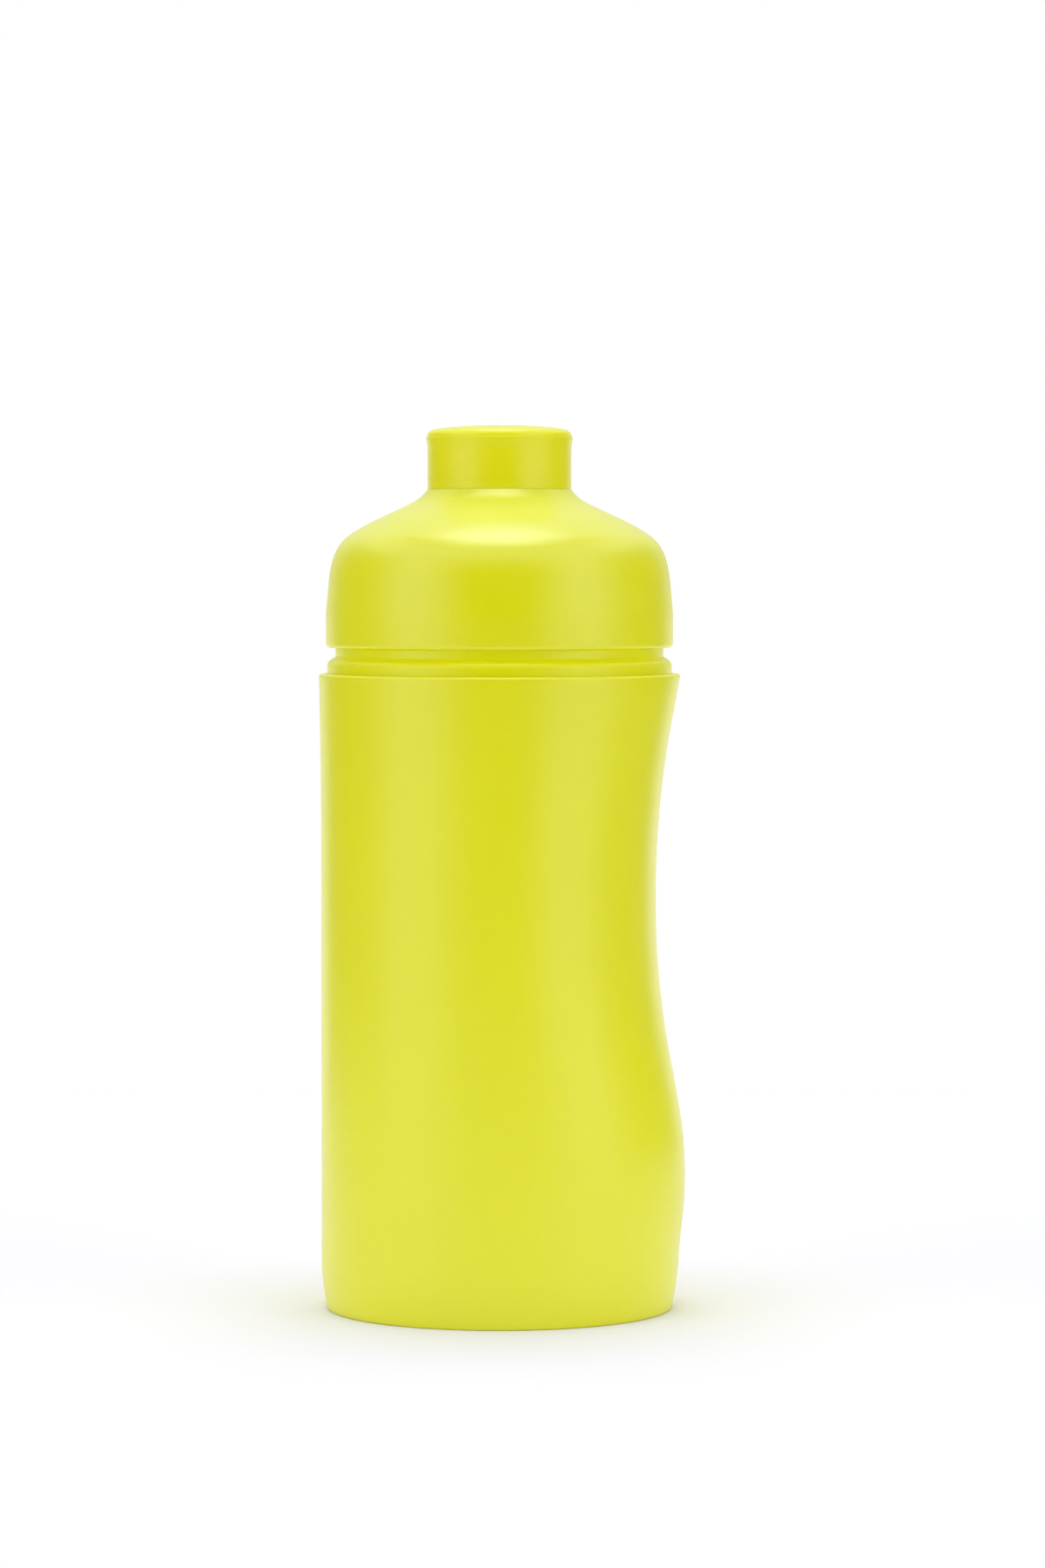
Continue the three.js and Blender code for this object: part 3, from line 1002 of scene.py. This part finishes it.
# How bright the studio's walls are at (degrees, level), from the camera's side at 0 to
# behind the bottle at 180, the same to the left and to the right: below the table top,
# beside the bottle and above it.
LOW_LEVELS = [
    (0, 0.15),
    (18, 0.2),
    (42, 1.0),
    (70, 1.0),
    (88, 0.35),
    (105, 0.15),
    (135, 0.2),
    (152, 1.15),
    (180, 1.15),
]
SIDE_LEVELS = [
    (0, 0.0),
    (24, 0.0),
    (40, 0.9),
    (53, 1.6),
    (68, 1.5),
    (86, 0.45),
    (105, 0.15),
    (132, 0.2),
    (155, 0.75),
    (180, 0.75),
]
HIGH_LEVELS = [(0, 1.0), (60, 1.15), (110, 1.15), (140, 0.85), (180, 0.75)]
CEILING_LEVEL = 0.25
# Heights in degrees where the walls' upper part and the ceiling start, and over how many
# degrees either way these edges and the one at table height are softened.
HIGH_START = 30
CEILING_START = 52
HIGH_SOFTNESS = 6
TABLE_SOFTNESS = 2
# The box overhead: half its width, and its front and back edges, as tangents from
# straight up.
BOX_LEVEL = 4.2
BOX_HALF_WIDTH = 0.3
BOX_FRONT = -0.35
BOX_BACK = 0.5
BOX_SOFTNESS = 0.2
# The least upward part of a direction that the box is worked out from.
LEAST_RISE = 0.001


def add_studio():
    """A studio with a lit back, a broad soft box on each side in front, a dark gap between
    them where the photographer stands, and a large box overhead."""
    world = bpy.data.worlds.new("studio")
    bpy.context.scene.world = world
    world.use_nodes = True
    tree = world.node_tree
    join = tree.links.new

    def calc(operation, *values):
        node = tree.nodes.new("ShaderNodeMath")
        node.operation = operation
        for socket, value in zip(node.inputs, values):
            if hasattr(value, "links"):
                join(value, socket)
            else:
                socket.default_value = value
        return node.outputs[0]

    def levels(degrees, stops):
        """The level at an angle from 0 to 180, eased between stops. Ramps hold at most 1."""
        most = max(level for _, level in stops)
        node = tree.nodes.new("ShaderNodeValToRGB")
        node.color_ramp.interpolation = "EASE"
        join(calc("DIVIDE", degrees, 180.0), node.inputs["Fac"])
        positions = [at / 180 for at, _ in stops]
        greys = [(*[level / most] * 3, 1) for _, level in stops]
        set_stops(node.color_ramp, positions, greys)
        return calc("MULTIPLY", node.outputs["Color"], most)

    def step(value, edge, softness):
        """0 below the edge and 1 above it."""
        node = tree.nodes.new("ShaderNodeMapRange")
        node.interpolation_type = "SMOOTHSTEP"
        node.inputs["From Min"].default_value = edge - softness
        node.inputs["From Max"].default_value = edge + softness
        join(value, node.inputs["Value"])
        return node.outputs["Result"]

    def less(value):
        return calc("SUBTRACT", 1.0, value)

    def mix(share, first, second):
        """The first value where share is 0, and the second where it is 1."""
        return calc(
            "ADD",
            calc("MULTIPLY", less(share), first),
            calc("MULTIPLY", share, second),
        )

    place = tree.nodes.new("ShaderNodeTexCoord")
    split = tree.nodes.new("ShaderNodeSeparateXYZ")
    join(place.outputs["Generated"], split.inputs["Vector"])
    x, y, z = split.outputs
    across = calc("ABSOLUTE", x)
    around = calc("DEGREES", calc("ARCTAN2", across, calc("MULTIPLY", y, -1.0)))
    rise = calc("DEGREES", calc("ARCSINE", z))

    low, side, high = [levels(around, s) for s in (LOW_LEVELS, SIDE_LEVELS, HIGH_LEVELS)]
    level = mix(step(rise, 0, TABLE_SOFTNESS), low, side)
    level = mix(step(rise, HIGH_START, HIGH_SOFTNESS), level, high)
    level = mix(step(rise, CEILING_START, HIGH_SOFTNESS), level, CEILING_LEVEL)

    up = calc("MAXIMUM", z, LEAST_RISE)
    width = calc("DIVIDE", across, up)
    depth = calc("DIVIDE", y, up)
    box = less(step(width, BOX_HALF_WIDTH, BOX_SOFTNESS))
    box = calc("MULTIPLY", box, step(depth, BOX_FRONT, BOX_SOFTNESS))
    box = calc("MULTIPLY", box, less(step(depth, BOX_BACK, BOX_SOFTNESS)))
    level = mix(box, level, BOX_LEVEL)

    # The lens sees a white backdrop.
    seen = tree.nodes.new("ShaderNodeLightPath").outputs["Is Camera Ray"]
    join(mix(seen, level, 1.0), tree.nodes["Background"].inputs["Strength"])
    tree.nodes["Background"].inputs["Color"].default_value = (1, 1, 1, 1)


add_studio()


# ---- Camera ----

# The camera's place and the range it sees are in metres, and its tilt is in degrees.
CAMERA_PLACE = (0.0047, -1.09, 0.153)
CAMERA_DOWN = 2.4
CAMERA_LENS = 122.5
SENSOR_WIDTH = 36
NEAREST = 0.01
FARTHEST = 200


def add_camera():
    camera = bpy.data.cameras.new("camera")
    camera.lens = CAMERA_LENS
    camera.sensor_width = SENSOR_WIDTH
    camera.clip_start = NEAREST
    camera.clip_end = FARTHEST
    holder = link("camera", camera)
    holder.location = CAMERA_PLACE
    holder.rotation_euler = (math.radians(90 - CAMERA_DOWN), 0, 0)
    bpy.context.scene.camera = holder


add_camera()
bpy.context.scene.view_settings.view_transform = "Standard"

bpy.context.view_layer.update()
